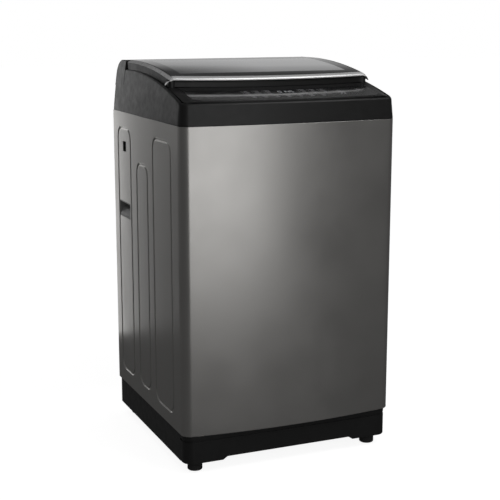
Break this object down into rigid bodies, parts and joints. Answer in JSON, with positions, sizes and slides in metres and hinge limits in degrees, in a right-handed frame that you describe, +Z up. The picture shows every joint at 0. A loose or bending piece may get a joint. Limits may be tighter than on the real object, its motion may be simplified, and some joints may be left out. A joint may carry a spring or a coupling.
{
  "type": "top load washing machine",
  "caption": "Top loading washing machine: bowed steel cabinet, black top cover, hinged glass lid, key panel, sprung tub with basket and pulsator.",
  "frame": {"origin": "centre of the footprint on the floor, midway between the bowed front and the inlet thread at the back", "axes": "+Z up, front faces -Y, +X to the right seen from the front"},
  "size_m": [0.56, 0.5644, 0.973],
  "materials": {
    "titanium_steel": "satin metallic grey",
    "black_plastic": "satin",
    "grey_plastic": "satin",
    "gloss_black": "gloss",
    "circuit_board": "satin",
    "white_plastic": "satin",
    "plated_steel": "zinc plated",
    "rubber": "matt",
    "smoked_glass": "polished, smoked",
    "bright_trim": "bright",
    "stainless_steel": "brushed",
    "cast_aluminium": "cast"
  },
  "bodies": {
    "cabinet": {"cabinet_wrap": "titanium_steel", "rear_panel": "titanium_steel", "base_frame": "black_plastic", "plinth_front_cover": "black_plastic", "side_handle_left": "grey_plastic", "side_handle_right": "grey_plastic", "top_cover": "black_plastic", "rear_cover": "black_plastic", "control_overlay": "gloss_black", "display_window": "gloss_black", "control_board": "circuit_board", "lid_sensor": "white_plastic", "inlet_valve": "white_plastic", "dispenser_housing": "white_plastic", "pressure_sensor": "white_plastic", "suspension_rods": "plated_steel", "suspension_springs": "plated_steel", "corner_braces": "titanium_steel", "cord_gland": "rubber", "drain_outlet": "grey_plastic", "cabinet_screws": "plated_steel", "foot_lock_nuts": "plated_steel", "lid_bumpers": "rubber"},
    "lid": {"lid_frame": "black_plastic", "lid_glass": "smoked_glass", "lid_trim": "bright_trim", "lid_hinge_pins": "plated_steel"},
    "drawer": {"detergent_drawer": "white_plastic"},
    "tub": {"outer_tub": "white_plastic", "tub_ring_cover": "white_plastic", "drive_plate": "titanium_steel", "clutch_housing": "plated_steel", "motor": "plated_steel", "drive_belt": "rubber", "drain_pump": "white_plastic"},
    "spin_basket": {"basket": "stainless_steel", "basket_hub": "stainless_steel", "balance_ring": "white_plastic", "spin_shaft": "stainless_steel", "lint_filter": "white_plastic"},
    "wash_pulsator": {"pulsator": "white_plastic", "pulsator_cap": "grey_plastic", "wash_shaft": "stainless_steel"},
    "big_pulley": {"clutch_pulley": "cast_aluminium"},
    "small_pulley": {"motor_pulley": "cast_aluminium"},
    "impeller": {"pump_impeller": "grey_plastic"},
    "key_1_cap": {"key_1": "gloss_black"},
    "key_2_cap": {"key_2": "gloss_black"},
    "key_3_cap": {"key_3": "gloss_black"},
    "key_4_cap": {"key_4": "gloss_black"},
    "key_5_cap": {"key_5": "gloss_black"},
    "key_6_cap": {"key_6": "gloss_black"},
    "key_7_cap": {"key_7": "gloss_black"},
    "power_key_cap": {"power_key": "gloss_black"},
    "start_key_cap": {"start_key": "gloss_black"},
    "leveller_front_left": {"foot_front_left": "rubber"},
    "leveller_front_right": {"foot_front_right": "rubber"},
    "leveller_rear_left": {"foot_rear_left": "rubber"},
    "leveller_rear_right": {"foot_rear_right": "rubber"}
  },
  "joints": [
    {"name": "lid_hinge", "type": "hinge", "parent": "cabinet", "child": "lid", "pos_m": [0, 0.196, 0.9615], "axis": [-1, 0, 0], "range_deg": [0, 95]},
    {"name": "drawer_slide", "type": "slide", "parent": "cabinet", "child": "drawer", "axis": [0, -1, 0], "range_m": [0, 0.065]},
    {"name": "tub_bounce", "type": "slide", "parent": "cabinet", "child": "tub", "axis": [0, 0, 1], "range_m": [-0.02, 0.01], "stiffness_N_per_m": 9000, "springref_m": 0.0375, "deforming": ["suspension_springs"]},
    {"name": "basket_spin", "type": "hinge", "parent": "tub", "child": "spin_basket", "pos_m": [0, 0, 0.25], "axis": [0, 0, 1], "continuous": true},
    {"name": "pulsator_spin", "type": "hinge", "parent": "tub", "child": "wash_pulsator", "pos_m": [0, 0, 0.25], "axis": [0, 0, 1], "continuous": true},
    {"name": "clutch_pulley_spin", "type": "hinge", "parent": "tub", "child": "big_pulley", "pos_m": [0, 0, 0.12], "axis": [0, 0, 1], "continuous": true},
    {"name": "motor_pulley_spin", "type": "hinge", "parent": "tub", "child": "small_pulley", "pos_m": [0.14, 0, 0.12], "axis": [0, 0, 1], "continuous": true},
    {"name": "impeller_spin", "type": "hinge", "parent": "tub", "child": "impeller", "pos_m": [-0.15, 0.06, 0.17], "axis": [0, 0, 1], "continuous": true},
    {"name": "key_1_press", "type": "slide", "parent": "cabinet", "child": "key_1_cap", "axis": [0, 0.1961, -0.9806], "range_m": [0, 0.0008], "stiffness_N_per_m": 1200, "springref_m": -0.0005},
    {"name": "key_2_press", "type": "slide", "parent": "cabinet", "child": "key_2_cap", "axis": [0, 0.1961, -0.9806], "range_m": [0, 0.0008], "stiffness_N_per_m": 1200, "springref_m": -0.0005},
    {"name": "key_3_press", "type": "slide", "parent": "cabinet", "child": "key_3_cap", "axis": [0, 0.1961, -0.9806], "range_m": [0, 0.0008], "stiffness_N_per_m": 1200, "springref_m": -0.0005},
    {"name": "key_4_press", "type": "slide", "parent": "cabinet", "child": "key_4_cap", "axis": [0, 0.1961, -0.9806], "range_m": [0, 0.0008], "stiffness_N_per_m": 1200, "springref_m": -0.0005},
    {"name": "key_5_press", "type": "slide", "parent": "cabinet", "child": "key_5_cap", "axis": [0, 0.1961, -0.9806], "range_m": [0, 0.0008], "stiffness_N_per_m": 1200, "springref_m": -0.0005},
    {"name": "key_6_press", "type": "slide", "parent": "cabinet", "child": "key_6_cap", "axis": [0, 0.1961, -0.9806], "range_m": [0, 0.0008], "stiffness_N_per_m": 1200, "springref_m": -0.0005},
    {"name": "key_7_press", "type": "slide", "parent": "cabinet", "child": "key_7_cap", "axis": [0, 0.1961, -0.9806], "range_m": [0, 0.0008], "stiffness_N_per_m": 1200, "springref_m": -0.0005},
    {"name": "power_key_press", "type": "slide", "parent": "cabinet", "child": "power_key_cap", "axis": [0, 0.1961, -0.9806], "range_m": [0, 0.0008], "stiffness_N_per_m": 1200, "springref_m": -0.0005},
    {"name": "start_key_press", "type": "slide", "parent": "cabinet", "child": "start_key_cap", "axis": [0, 0.1961, -0.9806], "range_m": [0, 0.0008], "stiffness_N_per_m": 1200, "springref_m": -0.0005},
    {"name": "leveller_front_left_screw", "type": "slide", "parent": "cabinet", "child": "leveller_front_left", "axis": [0, 0, -1], "range_m": [0, 0.01]},
    {"name": "leveller_front_right_screw", "type": "slide", "parent": "cabinet", "child": "leveller_front_right", "axis": [0, 0, -1], "range_m": [0, 0.01]},
    {"name": "leveller_rear_left_screw", "type": "slide", "parent": "cabinet", "child": "leveller_rear_left", "axis": [0, 0, -1], "range_m": [0, 0.01]},
    {"name": "leveller_rear_right_screw", "type": "slide", "parent": "cabinet", "child": "leveller_rear_right", "axis": [0, 0, -1], "range_m": [0, 0.01]}
  ],
  "couplings": [
    {"joint": "clutch_pulley_spin", "follows": "pulsator_spin", "ratio": 4},
    {"joint": "motor_pulley_spin", "follows": "pulsator_spin", "ratio": 15.778}
  ]
}
